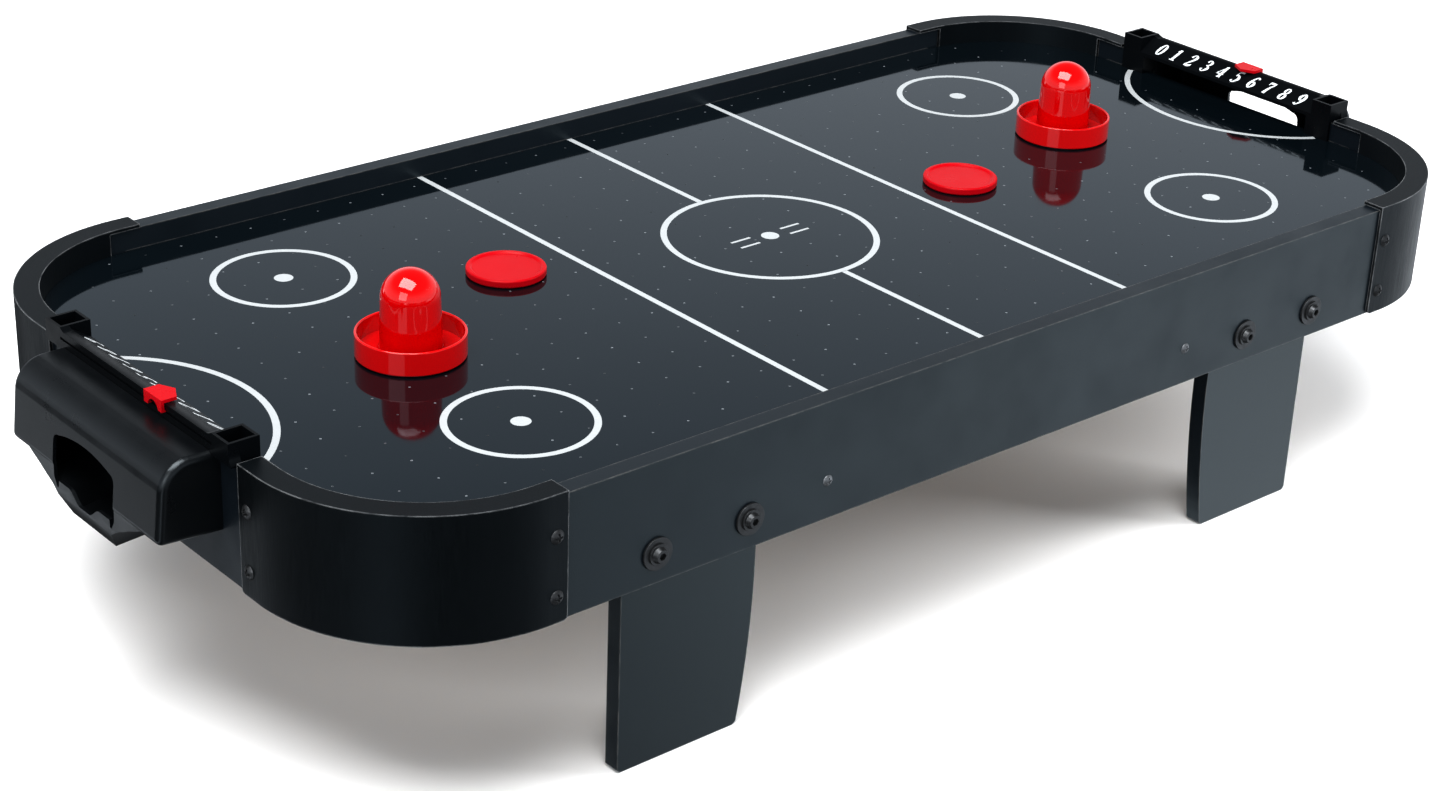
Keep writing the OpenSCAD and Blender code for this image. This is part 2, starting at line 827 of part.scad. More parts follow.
module fan_screws() {
    color(steel_black) for (sx = [-1, 1], sy = [-1, 1])
        translate([sx * fan_hole, sy * fan_hole, fan_low - guard_t])
            pan_screw(fan_screw_r - 0.02, fan_h + guard_t + base_t, 3.8, 2);
}

// ---------------------------------------------------------------- switch and inlet

// Hole through the back board for the switch body
module switch_cutout() {
    slab(switch_x - plate_w / 2 + 4, switch_x + plate_w / 2 - 4, side_in - 1, side_out + 1,
         switch_z - plate_h / 2 + 3, switch_z + plate_h / 2 - 3);
}

module switch_plate() {
    y0 = side_out;
    color(black) difference() {
        slab(switch_x - plate_w / 2, switch_x + plate_w / 2, y0, y0 + plate_t,
             switch_z - plate_h / 2, switch_z + plate_h / 2);
        slab(switch_x + rocker_dx - rocker_w / 2, switch_x + rocker_dx + rocker_w / 2, y0 - 1,
             y0 + plate_t + 1, switch_z - rocker_h / 2, switch_z + rocker_h / 2);
        translate([switch_x + inlet_dx, y0 - 1, switch_z]) rotate([-90, 0, 0])
            cylinder(r = inlet_r + 0.02, h = plate_t + 2);
    }
}

// A box behind the plate, open at the front, that carries the rocker's pins
module switch_body() {
    w = rocker_w + 5;
    h = rocker_h + 5;
    y1 = side_out;
    cx = switch_x + rocker_dx;
    color(black) difference() {
        slab(cx - w / 2, cx + w / 2, switch_back_y, y1, switch_z - h / 2, switch_z + h / 2);
        slab(cx - rocker_w / 2, cx + rocker_w / 2, y1 - 14, y1 + 1,
             switch_z - rocker_h / 2, switch_z + rocker_h / 2);
        translate([cx, rocker_pivot_y, switch_z - h / 2 - 1]) cylinder(r = 1.55, h = h + 2, $fn = 32);
    }
}

// The rocker is a bar with a shallow V outside, on a pin across it; it tips about Z
module power_rocker() {
    half = rocker_w / 2 - 1.6;
    h = rocker_h - 2 * rocker_gap;
    tip = 9;
    out = 6.5;
    color(black) translate([switch_x + rocker_dx, rocker_pivot_y, switch_z]) {
        rotate([0, 0, tip]) translate([0, 0, -h / 2]) linear_extrude(h)
            polygon([[-half, -2], [half, -2], [half, out + 1.2], [0, out - 0.6],
                     [-half, out + 1.2]]);
        translate([0, 0, -h / 2 - 2.2]) cylinder(r = 1.5, h = h + 4.4, $fn = 32);
    }
}

module dc_inlet() {
    length = 13;
    color(steel_black) translate([switch_x + inlet_dx, side_out + plate_t, switch_z])
        rotate([90, 0, 0]) {
            difference() {
                union() {
                    translate([0, 0, -1]) cylinder(r = inlet_r, h = length + 1);
                    translate([0, 0, -1.2]) cylinder(r = inlet_r + 1.5, h = 1.2);
                }
                translate([0, 0, -2]) cylinder(r = inlet_bore_r, h = 11.5);
            }
            cylinder(r = 1, h = 10, $fn = 32);
        }
}

module fan_lead() {
    color(black) translate([switch_x + rocker_dx, fan_w / 2, lead_z]) rotate([-90, 0, 0])
        cylinder(r = lead_r, h = switch_back_y - fan_w / 2, $fn = 24);
}

module lead_clips() {
    x = switch_x + rocker_dx;
    color(black) for (y = lead_clip_ys) difference() {
        union() {
            slab(x - 3.5, x + 3.5, y - 3, y + 3, lead_z - 3.4, base_z);
            slab(x - 10, x + 3.5, y - 3, y + 3, base_z - 1.5, base_z);
        }
        translate([x, y - 4, lead_z]) rotate([-90, 0, 0]) cylinder(r = lead_r + 0.02, h = 8, $fn = 24);
    }
}

// ---------------------------------------------------------------- pushers and pucks

module pusher(spot) {
    z0 = play_z + air_film + felt_out;
    r = pusher_d / 2;
    top = pusher_h - felt_out;
    dome_z = top - knob_r;
    color(red) translate([spot[0], spot[1], z0]) difference() {
        union() {
            rotate_extrude($fn = 128) {
                square([r - 1, 3.4]);
                translate([0, 1]) square([r, 2.4]);
                translate([r - 1, 1]) circle(1, $fn = 32);
                translate([r - rim_t, 1]) square([rim_t, rim_h - rim_t / 2 - 1]);
                translate([r - rim_t / 2, rim_h - rim_t / 2]) circle(rim_t / 2, $fn = 32);
                // fillet at the foot of the knob
                difference() {
                    square([knob_foot_r + 2, 5.4]);
                    translate([knob_foot_r + 2, 5.4]) circle(2, $fn = 32);
                }
            }
            translate([0, 0, 3]) cylinder(r1 = knob_foot_r, r2 = knob_r, h = dome_z - 3, $fn = 96);
            translate([0, 0, dome_z]) sphere(knob_r, $fn = 96);
        }
        // hollow knob, open underneath
        translate([0, 0, -1]) cylinder(r1 = knob_foot_r - shell_t, r2 = knob_r - shell_t, h = dome_z + 1);
        translate([0, 0, dome_z]) sphere(knob_r - shell_t, $fn = 96);
        // seat of the felt ring
        translate([0, 0, -1]) difference() {
            cylinder(r = r - 2.5, h = 1 + felt_t - felt_out);
            cylinder(r = knob_foot_r + 0.5, h = 4);
        }
    }
}

module pusher_felt(spot) {
    color([0.85, 0.85, 0.83]) translate([spot[0], spot[1], play_z + air_film]) difference() {
        cylinder(r = pusher_d / 2 - 2.6, h = felt_t);
        translate([0, 0, -1]) cylinder(r = knob_foot_r + 0.6, h = felt_t + 2);
    }
}

module pusher_left() { pusher(pusher_spot_left); }
module pusher_right() { pusher(pusher_spot_right); }
module pusher_felt_left() { pusher_felt(pusher_spot_left); }
module pusher_felt_right() { pusher_felt(pusher_spot_right); }

// A puck with a round edge and a shallow dish in both faces
module puck(spot) {
    r = puck_d / 2;
    dish = 1;
    rim = 2.6;
    slope = 1.4;
    edge = 1.2;
    color(red) translate([spot[0], spot[1], play_z + air_film]) rotate_extrude($fn = 128)
        difference() {
            union() {
                square([r - edge, puck_h]);
                translate([0, edge]) square([r, puck_h - 2 * edge]);
                for (z = [edge, puck_h - edge]) translate([r - edge, z]) circle(edge, $fn = 32);
            }
            for (face = [0, 1]) translate([0, face * puck_h]) mirror([0, face])
                polygon([[0, -1], [r - rim, -1], [r - rim, 0], [r - rim - slope, dish], [0, dish]]);
            translate([-r, -1]) square([r, puck_h + 2]);
        }
}

module puck_left() { puck(puck_spot_left); }
module puck_right() { puck(puck_spot_right); }

// ---------------------------------------------------------------- nodes

side_board_front();
side_board_back();
end_board_left();
end_board_right();
corner_front_left();
corner_front_right();
corner_back_left();
corner_back_right();
corner_screws();
playing_surface();
base_panel();
air_batten_front();
air_batten_back();
air_batten_left();
air_batten_right();
cross_brace_left();
cross_brace_right();
brace_screws();
leg_front_left();
leg_front_right();
leg_back_left();
leg_back_right();
leg_bolts();
leg_washers();
leg_nuts();
goal_frame_left();
goal_frame_right();
goal_box_left();
goal_box_right();
goal_screws();
score_slider_left();
score_slider_right();
fan_frame();
fan_stator();
fan_impeller();
fan_guard();
fan_screws();
switch_plate();
switch_body();
power_rocker();
dc_inlet();
fan_lead();
lead_clips();
pusher_left();
pusher_right();
pusher_felt_left();
pusher_felt_right();
puck_left();
puck_right();
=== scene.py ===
"""Looks of a tabletop air hockey table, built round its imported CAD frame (metres, +Z up)."""
import json
import math

import bmesh
import bpy
from mathutils import Matrix, Vector


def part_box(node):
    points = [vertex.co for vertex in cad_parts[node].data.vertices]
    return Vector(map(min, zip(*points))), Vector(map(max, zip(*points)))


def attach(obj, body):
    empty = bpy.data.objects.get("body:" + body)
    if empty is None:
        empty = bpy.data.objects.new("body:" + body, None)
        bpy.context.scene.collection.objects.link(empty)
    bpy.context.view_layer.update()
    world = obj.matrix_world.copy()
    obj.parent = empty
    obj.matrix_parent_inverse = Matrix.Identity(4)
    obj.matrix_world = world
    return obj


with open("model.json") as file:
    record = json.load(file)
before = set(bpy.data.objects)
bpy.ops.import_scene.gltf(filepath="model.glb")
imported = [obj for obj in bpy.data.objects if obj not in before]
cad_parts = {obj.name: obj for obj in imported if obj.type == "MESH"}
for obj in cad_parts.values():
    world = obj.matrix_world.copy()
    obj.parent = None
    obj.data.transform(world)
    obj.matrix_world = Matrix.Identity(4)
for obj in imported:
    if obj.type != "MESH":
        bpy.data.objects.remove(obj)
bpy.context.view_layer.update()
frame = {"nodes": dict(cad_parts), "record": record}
nodes = frame["nodes"]
MM = 0.001

# ------------------------------------------------------------------ driving places
PLAY_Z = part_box("playing_surface")[1][2]
SIDE_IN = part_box("side_board_back")[0][1]
POST_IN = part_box("goal_frame_right")[0][0]
POST_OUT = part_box("goal_frame_right")[1][0]
GOAL_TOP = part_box("goal_frame_right")[1][2]
# The scoring beam: the ledge on its outer side, and how far its sloping face drops
LEDGE = 5.9 * MM
LEDGE_DROP = 1.8 * MM
BEAM_DROP = 9.0 * MM
# Distance between air holes
PITCH = 25.4 * MM


def scaled(colour, factor):
    return tuple(factor * part for part in colour)


# ------------------------------------------------------------------ camera
# The photograph's view in degrees, the point it is turned to, and the distance from there
AZIMUTH, ELEVATION, ROLL = -41.17, 25.80, 2.29
TARGET = Vector((-0.1792, -0.1644, PLAY_Z))
DISTANCE = 1.5986
LENS = 69.78
SHIFT_X = -0.0019


def make_camera():
    azimuth, elevation, roll = (math.radians(angle) for angle in (AZIMUTH, ELEVATION, ROLL))
    back = Vector((math.sin(azimuth) * math.cos(elevation),
                   -math.cos(azimuth) * math.cos(elevation), math.sin(elevation)))
    right = Vector((math.cos(azimuth), math.sin(azimuth), 0))
    up = back.cross(right)
    right_rolled = right * math.cos(roll) + up * math.sin(roll)
    up_rolled = up * math.cos(roll) - right * math.sin(roll)
    data = bpy.data.cameras.new("camera")
    data.sensor_width = 36
    data.sensor_fit = "HORIZONTAL"
    data.lens = LENS
    data.shift_x = SHIFT_X
    data.clip_start = 0.05
    data.clip_end = 60
    camera = bpy.data.objects.new("camera", data)
    rotation = Matrix((right_rolled, up_rolled, back)).transposed()
    camera.matrix_world = Matrix.Translation(TARGET + back * DISTANCE) @ rotation.to_4x4()
    bpy.context.scene.collection.objects.link(camera)
    bpy.context.scene.camera = camera


# ------------------------------------------------------------------ material kit
class Shader:
    """A material with one Principled BSDF and short calls for its texture nodes."""

    def __init__(self, name, **sockets):
        self.material = bpy.data.materials.new(name)
        self.material.use_nodes = True
        self.tree = self.material.node_tree
        self.bsdf = self.tree.nodes["Principled BSDF"]
        self.coords = self.tree.nodes.new("ShaderNodeTexCoord").outputs["Object"]
        self.height = None
        for key, value in sockets.items():
            self.bsdf.inputs[key.replace("_", " ")].default_value = value

    def node(self, kind, **values):
        made = self.tree.nodes.new("ShaderNode" + kind)
        for key, value in values.items():
            setattr(made, key, value)
        return made

    def link(self, source, target):
        self.tree.links.new(source, target)

    def math(self, operation, a, b=0.0, clamp=False):
        made = self.node("Math", operation=operation, use_clamp=clamp)
        for socket, value in zip(made.inputs, (a, b)):
            if isinstance(value, (int, float)):
                socket.default_value = value
            else:
                self.link(value, socket)
        return made.outputs[0]

    def stretched(self, scale):
        made = self.node("Mapping")
        made.inputs["Scale"].default_value = scale
        self.link(self.coords, made.inputs["Vector"])
        return made.outputs[0]

    def noise(self, scale, detail=3.0, roughness=0.5, vector=None):
        made = self.node("TexNoise")
        made.inputs["Scale"].default_value = scale
        made.inputs["Detail"].default_value = detail
        made.inputs["Roughness"].default_value = roughness
        self.link(vector or self.coords, made.inputs["Vector"])
        return made.outputs["Fac"]

    def specks(self, scale, size):
        """1 inside small round specks scattered at the cells of a Voronoi texture."""
        made = self.node("TexVoronoi")
        made.inputs["Scale"].default_value = scale
        self.link(self.coords, made.inputs["Vector"])
        return self.math("LESS_THAN", made.outputs["Distance"], size)

    def arris(self, radius):
        """1 along the sharp edges of a piece, within a radius of them, broken up by noise; the pale
        colour laid there is part worn edge and part painted highlight.
        """
        rounded = self.node("Bevel", samples=6)
        rounded.inputs["Radius"].default_value = radius
        straight = self.node("NewGeometry")
        turn = self.node("VectorMath", operation="DOT_PRODUCT")
        self.link(rounded.outputs["Normal"], turn.inputs[0])
        self.link(straight.outputs["True Normal"], turn.inputs[1])
        edge = self.ramp(turn.outputs["Value"], 1, 0, 0.88, 0.99)
        return self.math("MULTIPLY", edge, self.ramp(self.noise(70, 4, 0.7), 0.15, 1, 0.35, 0.6))

    def ramp(self, fac, low, high, start=0.0, end=1.0):
        made = self.node("MapRange")
        made.clamp = True
        made.inputs["From Min"].default_value = start
        made.inputs["From Max"].default_value = end
        made.inputs["To Min"].default_value = low
        made.inputs["To Max"].default_value = high
        self.link(fac, made.inputs["Value"])
        return made.outputs["Result"]

    def mix(self, fac, a, b):
        made = self.node("Mix", data_type="RGBA")
        self.link(fac, made.inputs["Factor"])
        for socket, value in ((made.inputs["A"], a), (made.inputs["B"], b)):
            if isinstance(value, tuple):
                socket.default_value = (*value, 1)
            else:
                self.link(value, socket)
        return made.outputs["Result"]

    def color(self, source):
        self.link(source, self.bsdf.inputs["Base Color"])

    def roughness(self, source):
        self.link(source, self.bsdf.inputs["Roughness"])

    def bump(self, source, distance, strength=1.0):
        """Adds a bump layer; distance is the height of the relief in metres."""
        made = self.node("Bump")
        made.inputs["Strength"].default_value = strength
        made.inputs["Distance"].default_value = distance
        self.link(source, made.inputs["Height"])
        if self.height:
            self.link(self.height, made.inputs["Normal"])
        self.height = made.outputs["Normal"]
        self.link(self.height, self.bsdf.inputs["Normal"])


def board_foil(name="board_foil", gloss=0.42, paleness=1.0, satin=0.30):
    """Black foil on board; gloss is its specular level and satin its lowest roughness."""
    s = Shader(name, Specular_IOR_Level=gloss, Specular_Tint=(0.73, 0.93, 0.99, 1))
    cloud = s.noise(6, 4)
    fibre = s.noise(1, 5, 0.6, s.stretched((14, 14, 260)))
    # Below 1, paleness darkens this colour to paint shade on a copy of the same foil.
    base = s.mix(s.ramp(cloud, 0, 1, 0.3, 0.7), scaled((0.003, 0.005, 0.0075), paleness),
                 scaled((0.0045, 0.007, 0.0105), paleness))
    # Pale edges: partly worn foil, partly a painted highlight along the arrises.
    s.color(s.mix(s.arris(1.5 * MM), base, (0.075, 0.073, 0.070)))
    s.roughness(s.ramp(s.noise(24, 5, 0.6), satin, satin * 1.45, 0.3, 0.7))
    s.bump(fibre, 0.00005, 0.5)
    s.bump(s.noise(1400, 2), 0.00004, 0.5)
    return s.material


def corner_plastic():
    s = Shader("corner_plastic", Specular_IOR_Level=0.22, Specular_Tint=(0.66, 0.86, 1.0, 1))
    streaks = s.noise(1, 6, 0.7, s.stretched((1500, 1500, 60)))
    cloud = s.noise(9, 3)
    base = s.mix(s.ramp(cloud, 0, 1, 0.35, 0.65), (0.0006, 0.001, 0.0014), (0.0011, 0.0017, 0.0023))
    # Pale edges: partly worn plastic, partly a painted highlight along the arrises.
    s.color(s.mix(s.arris(1.4 * MM), base, (0.145, 0.15, 0.155)))
    s.roughness(s.ramp(streaks, 0.34, 0.55, 0.3, 0.7))
    s.bump(streaks, 0.00006, 0.6)
    return s.material


def goal_plastic(name="goal_plastic", gloss=0.42):
    s = Shader(name, Specular_IOR_Level=gloss, Specular_Tint=(0.84, 0.94, 1.0, 1))
    s.color(s.mix(s.noise(14, 4), (0.0010, 0.0014, 0.0020), (0.0020, 0.0026, 0.0034)))
    s.roughness(s.ramp(s.noise(40, 5, 0.6), 0.26, 0.36, 0.3, 0.7))
    s.bump(s.noise(900, 3, 0.6), 0.00005, 0.5)
    return s.material


def play_laminate():
    s = Shader("play_laminate", Specular_IOR_Level=0.55, Specular_Tint=(0.46, 0.75, 1.0, 1))
    cloud = s.noise(3.5, 3)
    base = s.mix(s.ramp(cloud, 0, 1, 0.35, 0.65),
                 (0.0012, 0.0028, 0.0042), (0.0020, 0.0040, 0.0058))
    s.color(s.mix(s.specks(420, 0.03), base, (0.010, 0.012, 0.014)))
    s.roughness(s.ramp(s.noise(30, 6, 0.65), 0.035, 0.085, 0.3, 0.75))
    s.bump(s.noise(5, 2), 0.00008, 0.25)
    return s.material


def print_white(name="print_white", brightness=1.0):
    s = Shader(name, Specular_IOR_Level=0.45)
    s.color(s.mix(s.noise(300, 4, 0.7), scaled((0.34, 0.36, 0.37), brightness),
                  scaled((0.39, 0.41, 0.42), brightness)))
    s.roughness(s.ramp(s.noise(120, 4), 0.16, 0.30, 0.3, 0.7))
    return s.material


def red_gloss():
    s = Shader("red_gloss", Specular_IOR_Level=0.3, Coat_Weight=0.45, Coat_Roughness=0.03)
    s.color(s.mix(s.noise(22, 3), (0.43, 0.0001, 0.0006), (0.50, 0.0002, 0.0012)))
    s.roughness(s.ramp(s.noise(60, 5, 0.6), 0.05, 0.10, 0.3, 0.7))
    s.bump(s.noise(26, 2), 0.00006, 0.25)
    return s.material


def red_satin():
    s = Shader("red_satin", Specular_IOR_Level=0.10)
    s.color(s.mix(s.noise(22, 3), (0.33, 0.0005, 0.0040), (0.40, 0.0008, 0.0060)))
    s.roughness(s.ramp(s.noise(60, 5, 0.6), 0.26, 0.36, 0.3, 0.7))
    s.bump(s.noise(500, 3), 0.00003, 0.3)
    return s.material


def black_steel(name="black_steel", shine=1.0):
    s = Shader(name, Metallic=0.85)
    s.color(s.mix(s.noise(220, 5, 0.6), scaled((0.03, 0.032, 0.034), shine),
                  scaled((0.07, 0.073, 0.077), shine)))
    s.roughness(s.ramp(s.noise(320, 4), 0.30, 0.50, 0.3, 0.7))
    s.bump(s.noise(1600, 2), 0.00004, 0.5)
    return s.material


def raw_board():
    s = Shader("raw_board", Specular_IOR_Level=0.3)
    fibres = s.noise(1, 6, 0.7, s.stretched((420, 420, 420)))
    flakes = s.noise(60, 5, 0.7)
    s.color(s.mix(s.ramp(flakes, 0, 1, 0.35, 0.65), (0.17, 0.115, 0.07), (0.26, 0.185, 0.115)))
    s.roughness(s.ramp(fibres, 0.70, 0.90, 0.3, 0.7))
    s.bump(fibres, 0.00010, 0.6)
    return s.material


def fan_plastic():
    s = Shader("fan_plastic", Specular_IOR_Level=0.45)
    s.color(s.mix(s.noise(30, 3), (0.018, 0.018, 0.020), (0.030, 0.030, 0.032)))
    s.roughness(s.ramp(s.noise(200, 3), 0.38, 0.52, 0.3, 0.7))
    s.bump(s.noise(1200, 2), 0.00005, 0.4)
    return s.material


def winding():
    s = Shader("winding", Metallic=0.9)
    wave = s.node("TexWave")
    wave.inputs["Scale"].default_value = 900
    s.link(s.coords, wave.inputs["Vector"])
    s.color(s.mix(wave.outputs["Fac"], (0.30, 0.12, 0.05), (0.62, 0.30, 0.14)))
    s.roughness(s.ramp(s.noise(90), 0.25, 0.40, 0.3, 0.7))
    s.bump(wave.outputs["Fac"], 0.0002, 0.6)
    return s.material


def lead_pvc():
    s = Shader("lead_pvc", Specular_IOR_Level=0.4)
    s.color(s.mix(s.noise(80, 3), (0.012, 0.012, 0.013), (0.022, 0.022, 0.023)))
    s.roughness(s.ramp(s.noise(150, 3), 0.42, 0.58, 0.3, 0.7))
    s.bump(s.noise(900, 2), 0.00004, 0.4)
    return s.material


def felt():
    s = Shader("felt", Specular_IOR_Level=0.2, Sheen_Weight=0.5)
    fluff = s.noise(2400, 6, 0.75)
    s.color(s.mix(fluff, (0.30, 0.30, 0.28), (0.44, 0.44, 0.42)))
    s.roughness(s.ramp(fluff, 0.85, 1.0, 0.3, 0.7))
    s.bump(fluff, 0.0004, 0.8)
    return s.material


def hole_rim():
    s = Shader("hole_rim", Specular_IOR_Level=0.5)
    bright = s.ramp(s.noise(37, 3, 0.7), 0, 1, 0.40, 0.60)
    s.color(s.mix(bright, (0.012, 0.015, 0.018), (0.19, 0.21, 0.23)))
    s.roughness(s.ramp(s.noise(400), 0.25, 0.45, 0.3, 0.7))
    return s.material


def floor_paper():
    s = Shader("floor_paper", Specular_IOR_Level=0.1)
    s.color(s.mix(s.noise(2.5, 4), (0.84, 0.84, 0.84), (0.87, 0.87, 0.87)))
    s.roughness(s.ramp(s.noise(40, 3), 0.75, 0.9, 0.3, 0.7))
    return s.material


# ------------------------------------------------------------------ mesh kit
def add_mesh(name, bm, material, body="table"):
    bmesh.ops.recalc_face_normals(bm, faces=bm.faces)
    mesh = bpy.data.meshes.new(name)
    bm.to_mesh(mesh)
    bm.free()
    mesh.materials.append(material)
    piece = bpy.data.objects.new(name, mesh)
    bpy.context.scene.collection.objects.link(piece)
    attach(piece, body)
    return piece


def plate(bm, left, right, low, high, closed=False):
    """A thin plate between two rows of points, from height low to height high."""
    rows = [[bm.verts.new((x, y, z)) for x, y in side]
            for side in (left, right) for z in (low, high)]
    left_low, left_high, right_low, right_high = rows
    count = len(left)
    steps = count if closed else count - 1
    for i in range(steps):
        j = (i + 1) % count
        bm.faces.new((left_high[i], left_high[j], right_high[j], right_high[i]))
        bm.faces.new((left_low[i], right_low[i], right_low[j], left_low[j]))
        bm.faces.new((left_low[i], left_low[j], left_high[j], left_high[i]))
        bm.faces.new((right_low[i], right_high[i], right_high[j], right_low[j]))
    if not closed:
        for i in (0, count - 1):
            bm.faces.new((left_low[i], left_high[i], right_high[i], right_low[i]))


def ring_points(x, y, r, start=0.0, end=360.0, count=96):
    full = abs(end - start) >= 360
    last = count if full else count - 1
    return [(x + r * math.cos(math.radians(start + (end - start) * i / last)),
             y + r * math.sin(math.radians(start + (end - start) * i / last)))
            for i in range(count)]


# ------------------------------------------------------------------ printed lines
LINE = 4.2 * MM
INK_LOW = PLAY_Z - 0.03 * MM
INK_HIGH = PLAY_Z + 0.05 * MM
CIRCLE_X, CIRCLE_Y = 11.5 * PITCH, 123.2 * MM
CIRCLE_R = 43.2 * MM
DOT_R = 6.0 * MM
CENTRE_R = 69.4 * MM
CROSS_X = 5 * PITCH
ARC_X, ARC_R = 494.5 * MM, 102.2 * MM
# Where one line runs into another or under a goal post
OVERRUN = 0.2 * MM
ARC_TRIM = 0.4
# The bars of the centre mark: thickness, place either side of the middle, inner and outer end
BAR, BAR_Y, BAR_IN, BAR_OUT = 2.0 * MM, 5 * MM, 13 * MM, 29 * MM


def ink_ring(bm, x, y, r, start=0.0, end=360.0, count=128):
    plate(bm, ring_points(x, y, r + LINE / 2, start, end, count),
          ring_points(x, y, r - LINE / 2, start, end, count),
          INK_LOW, INK_HIGH, closed=end - start >= 360)


def ink_dot(bm, x, y, r):
    count = 40
    rows = [[bm.verts.new((px, py, z)) for px, py in ring_points(x, y, r, count=count)]
            for z in (INK_LOW, INK_HIGH)]
    for row in rows:
        bm.faces.new(row)
    for i in range(count):
        j = (i + 1) % count
        bm.faces.new((rows[0][i], rows[0][j], rows[1][j], rows[1][i]))


def ink_bar(bm, x, y0, y1):
    plate(bm, [(x - LINE / 2, y0), (x - LINE / 2, y1)], [(x + LINE / 2, y0), (x + LINE / 2, y1)],
          INK_LOW, INK_HIGH)


def field_lines(material):
    bm = bmesh.new()
    for sx in (-1, 1):
        ink_bar(bm, sx * CROSS_X, -SIDE_IN, SIDE_IN)
        for sy in (-1, 1):
            ink_ring(bm, sx * CIRCLE_X, sy * CIRCLE_Y, CIRCLE_R)
            ink_dot(bm, sx * CIRCLE_X, sy * CIRCLE_Y, DOT_R)
        reach = math.degrees(math.acos((ARC_X - POST_IN + OVERRUN) / ARC_R)) - ARC_TRIM
        middle = 180 if sx > 0 else 0
        ink_ring(bm, sx * ARC_X, 0, ARC_R, middle - reach, middle + reach)
    for sy in (-1, 1):
        ink_bar(bm, 0, sy * (CENTRE_R + LINE / 2 - OVERRUN), sy * SIDE_IN)
    ink_ring(bm, 0, 0, CENTRE_R, count=192)
    add_mesh("field_lines", bm, material)


def centre_mark(material):
    """A plain mark: a dot between two slim bars."""
    bm = bmesh.new()
    ink_dot(bm, 0, 0, DOT_R)
    for sx in (-1, 1):
        for y in (-BAR_Y, BAR_Y):
            x0, x1 = sx * BAR_IN, sx * BAR_OUT
            plate(bm, [(x0, y - BAR / 2), (x1, y - BAR / 2)],
                  [(x0, y + BAR / 2), (x1, y + BAR / 2)], INK_LOW, INK_HIGH)
    add_mesh("centre_mark", bm, material)


# The grid of air holes: columns in each half, rows either side of the middle, and the centre
# of the rounded corner of the surface with the furthest that a hole lies from it
HOLE_COLUMNS, HOLE_ROWS = 17, 8
ROUND_X, ROUND_Y, ROUND_R = 0.3516, 0.1191, 0.0892
HOLE_RIM_OUT, HOLE_RIM_IN = 0.68 * MM, 0.26 * MM


def hole_places():
    for sx in (-1, 1):
        for i in range(HOLE_COLUMNS):
            for j in range(-HOLE_ROWS, HOLE_ROWS + 1):
                x, y = (i + 0.5) * PITCH, j * PITCH
                if math.hypot(max(0, x - ROUND_X), max(0, abs(y) - ROUND_Y)) < ROUND_R:
                    yield sx * x, y


def on_line(x, y):
    """Whether an air hole lies on a printed line."""
    ax, ay = abs(x), abs(y)
    rings = ((CIRCLE_X, CIRCLE_Y, CIRCLE_R), (0, 0, CENTRE_R), (ARC_X, 0, ARC_R))
    near = min(abs(math.hypot(ax - cx, ay - cy) - r) for cx, cy, r in rings)
    dot = math.hypot(ax - CIRCLE_X, ay - CIRCLE_Y) < DOT_R
    return dot or min(near, abs(ax - CROSS_X)) < LINE / 2 + 1 * MM


def hole_rims(material):
    bm = bmesh.new()
    count = 14
    for x, y in hole_places():
        if not on_line(x, y):
            plate(bm, ring_points(x, y, HOLE_RIM_OUT, count=count),
                  ring_points(x, y, HOLE_RIM_IN, count=count),
                  PLAY_Z - 0.02 * MM, PLAY_Z + 0.05 * MM, closed=True)
    add_mesh("air_hole_rims", bm, material)


# ------------------------------------------------------------------ goal figures
# Each stroke is a list of (across, up, width) in a box one unit high.
STROKES = {
    "1": [[(0.27, 0.03, 0.15), (0.27, 0.97, 0.15)], [(0.30, 0.95, 0.05), (0.10, 0.80, 0.05)],
          [(0.08, 0.03, 0.06), (0.46, 0.03, 0.06)]],
    "2": [[(0.09, 0.72, 0.13), (0.14, 0.90, 0.07), (0.28, 0.96, 0.06), (0.43, 0.78, 0.15),
           (0.34, 0.50, 0.12), (0.06, 0.08, 0.05)],
          [(0.05, 0.07, 0.13), (0.40, 0.06, 0.13), (0.50, 0.22, 0.04)]],
    "3": [[(0.10, 0.78, 0.12), (0.15, 0.92, 0.07), (0.28, 0.96, 0.06), (0.42, 0.77, 0.14),
           (0.34, 0.58, 0.07), (0.20, 0.53, 0.05)],
          [(0.20, 0.53, 0.05), (0.38, 0.48, 0.08), (0.46, 0.28, 0.16), (0.30, 0.05, 0.07),
           (0.14, 0.06, 0.06), (0.07, 0.22, 0.12)]],
    "4": [[(0.40, 0.97, 0.05), (0.04, 0.32, 0.05)], [(0.03, 0.29, 0.06), (0.54, 0.29, 0.06)],
          [(0.38, 0.95, 0.15), (0.38, 0.03, 0.15)], [(0.24, 0.03, 0.06), (0.52, 0.03, 0.06)]],
    "5": [[(0.16, 0.92, 0.10), (0.48, 0.92, 0.10)], [(0.16, 0.95, 0.05), (0.13, 0.54, 0.05)],
          [(0.13, 0.54, 0.04), (0.28, 0.62, 0.07), (0.45, 0.36, 0.16), (0.30, 0.06, 0.08),
           (0.14, 0.05, 0.06), (0.06, 0.18, 0.12)]],
    "6": [[(0.46, 0.84, 0.12), (0.40, 0.94, 0.07), (0.28, 0.94, 0.06), (0.12, 0.62, 0.12),
           (0.10, 0.28, 0.15), (0.26, 0.04, 0.06), (0.44, 0.30, 0.15), (0.31, 0.56, 0.06),
           (0.14, 0.42, 0.05)]],
    "7": [[(0.07, 0.92, 0.12), (0.50, 0.92, 0.10)], [(0.07, 0.95, 0.04), (0.07, 0.74, 0.05)],
          [(0.49, 0.90, 0.06), (0.30, 0.50, 0.12), (0.22, 0.02, 0.17)]],
}
RINGS = {"0": [(0.27, 0.50, 0.19, 0.44, 0.15)],
         "8": [(0.28, 0.74, 0.14, 0.20, 0.11), (0.27, 0.26, 0.17, 0.22, 0.14)]}
FIGURE_H = 11.7 * MM
FIGURE_PITCH = 14.9 * MM
FIGURE_MIDDLE = 0.27
BOLD = 1.35
SLANT = 0.23
THIN = 0.05


